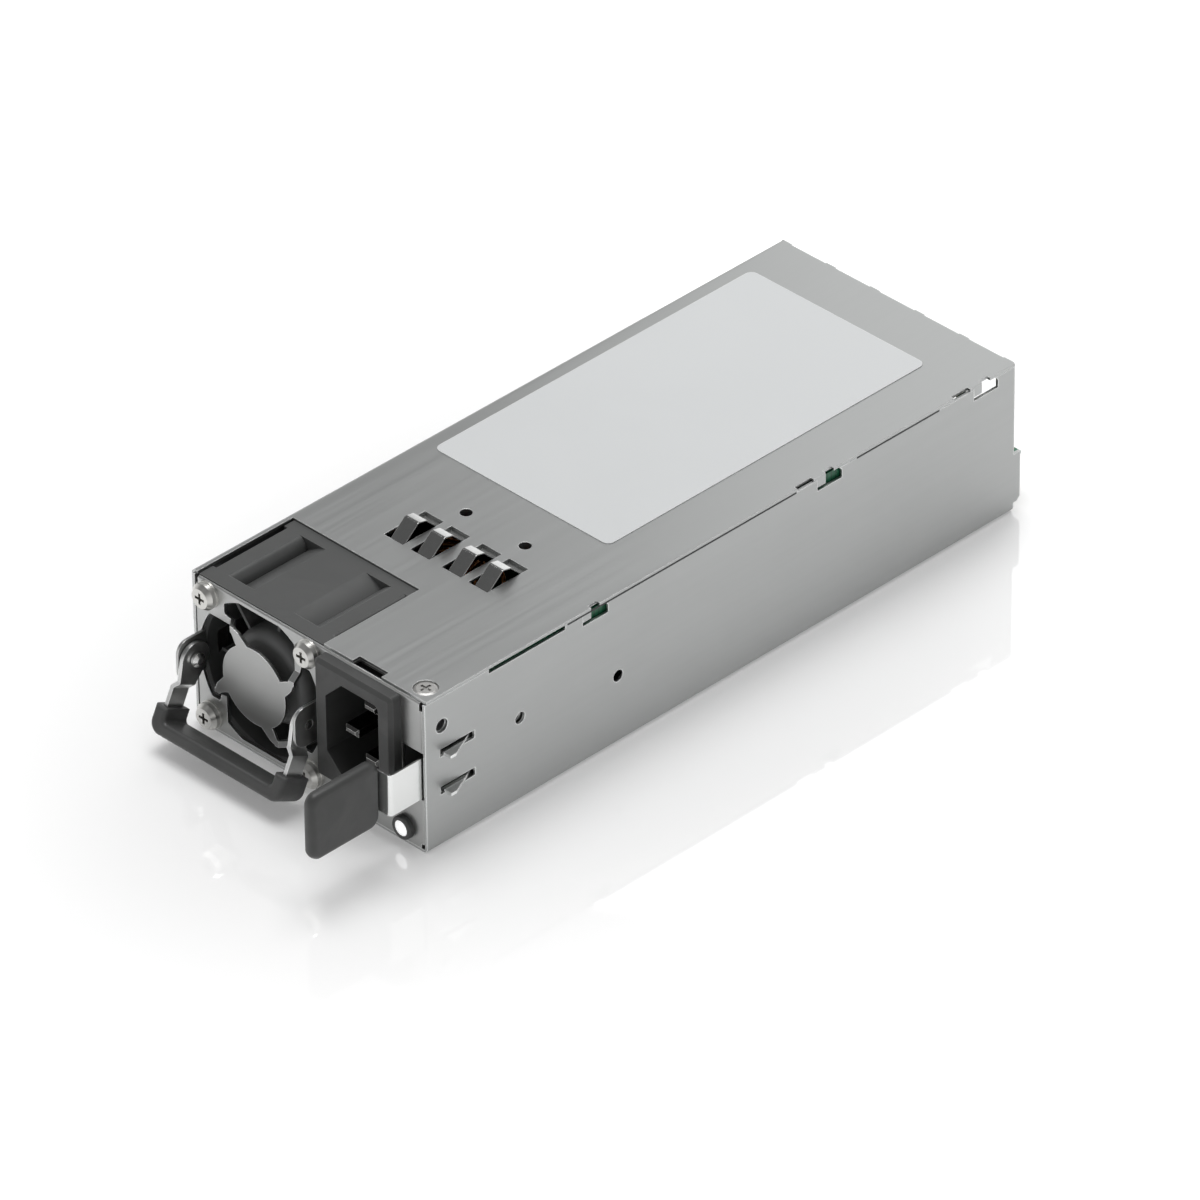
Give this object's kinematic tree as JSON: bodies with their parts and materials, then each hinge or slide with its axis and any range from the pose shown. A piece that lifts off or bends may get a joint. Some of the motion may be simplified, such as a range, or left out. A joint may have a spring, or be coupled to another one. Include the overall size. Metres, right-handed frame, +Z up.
{
  "type": "hot swap server power supply",
  "caption": "Slim folded-steel hot swap power supply with front fan behind a pinwheel guard, folding handle, mains inlet, side latch tab, status lamp and rear card edge.",
  "frame": {"origin": "centre of the case's flat underside", "axes": "+X to the right seen from the front, +Y along the case from the front panel to the card edge, +Z up"},
  "size_m": [0.0762, 0.2258, 0.0432],
  "materials": {
    "case_steel": "satin galvanised sheet",
    "cover_steel": "satin galvanised sheet",
    "panel_steel": "satin galvanised sheet",
    "label_paper": "matte film label, bare",
    "spring_steel": "bright rolled spring strip",
    "screw_nickel": "nickel plate",
    "cover_screw_nickel": "nickel plate",
    "fan_plastic": "fine moulded grain",
    "impeller_plastic": "moulded",
    "bearing_steel": "ground",
    "stator_steel": "laminated",
    "magnet": "bonded ferrite",
    "strap_steel": "satin zinc plate",
    "grip_plastic": "moulded satin",
    "rivet_steel": "bright",
    "inlet_plastic": "moulded",
    "pin_metal": "nickel plate",
    "lamp_plastic": "moulded",
    "lamp_lens": "frosted lens",
    "latch_steel": "bright spring strip",
    "tab_plastic": "moulded satin",
    "board_green": "solder mask",
    "edge_board_green": "solder mask",
    "film": "thin film",
    "post_metal": "plain",
    "contact_gold": "gold plate",
    "ferrite": "sintered",
    "inductor_core": "epoxy coat",
    "copper_wire": "enamelled copper",
    "film_capacitor": "moulded box",
    "relay_plastic": "moulded box",
    "fuse_glass": "glazed",
    "capacitor_sleeve": "shrink sleeve",
    "sink_aluminium": "extruded",
    "chip_plastic": "moulded",
    "winding_tape": "polyester tape",
    "capacitor_can": "drawn can"
  },
  "bodies": {
    "chassis": {"base_chassis": "case_steel", "top_cover": "cover_steel", "label_plate": "label_paper", "top_spring_clip": "spring_steel", "front_panel": "panel_steel", "fan_screws": "screw_nickel", "cover_screw": "cover_screw_nickel", "fan_frame": "fan_plastic", "fan_bearings": "bearing_steel", "fan_stator": "stator_steel", "handle_rivets": "rivet_steel", "inlet_housing": "inlet_plastic", "inlet_pins": "pin_metal", "lamp_holder": "lamp_plastic", "lamp_lens": "lamp_lens", "latch_stud": "rivet_steel", "main_board": "board_green", "insulation_film": "film", "board_posts": "post_metal", "board_screws": "screw_nickel", "edge_board": "edge_board_green", "edge_posts": "post_metal", "edge_contacts": "contact_gold", "side_board": "board_green", "choke_core": "ferrite", "choke_windings": "copper_wire", "inductor_core": "inductor_core", "inductor_windings": "copper_wire", "film_capacitor": "film_capacitor", "relay": "relay_plastic", "fuse": "fuse_glass", "bulk_capacitors": "capacitor_sleeve", "front_heat_sink": "sink_aluminium", "rear_heat_sink": "sink_aluminium", "power_transistors": "chip_plastic", "transformer_core": "ferrite", "transformer_winding": "winding_tape", "output_capacitors": "capacitor_can"},
    "fan_rotor": {"fan_impeller": "impeller_plastic", "fan_magnet": "magnet", "fan_shaft": "bearing_steel"},
    "handle": {"handle_strap": "strap_steel", "handle_grip": "grip_plastic"},
    "latch": {"latch_spring": "latch_steel", "latch_tab": "tab_plastic"}
  },
  "joints": [
    {"name": "fan_spin", "type": "hinge", "parent": "chassis", "child": "fan_rotor", "pos_m": [-0.015, -0.078, 0.02], "axis": [0, 1, 0], "continuous": true},
    {"name": "handle_swing", "type": "hinge", "parent": "chassis", "child": "handle", "pos_m": [-0.015, -0.0959, 0.02], "axis": [-1, 0, 0], "range_deg": [0, 100]},
    {"name": "latch_press", "type": "hinge", "parent": "chassis", "child": "latch", "pos_m": [0.03565, -0.045, 0.01965], "axis": [0, 0, -1], "range_deg": [0, 4.3], "stiffness_Nm_per_rad": 6}
  ]
}
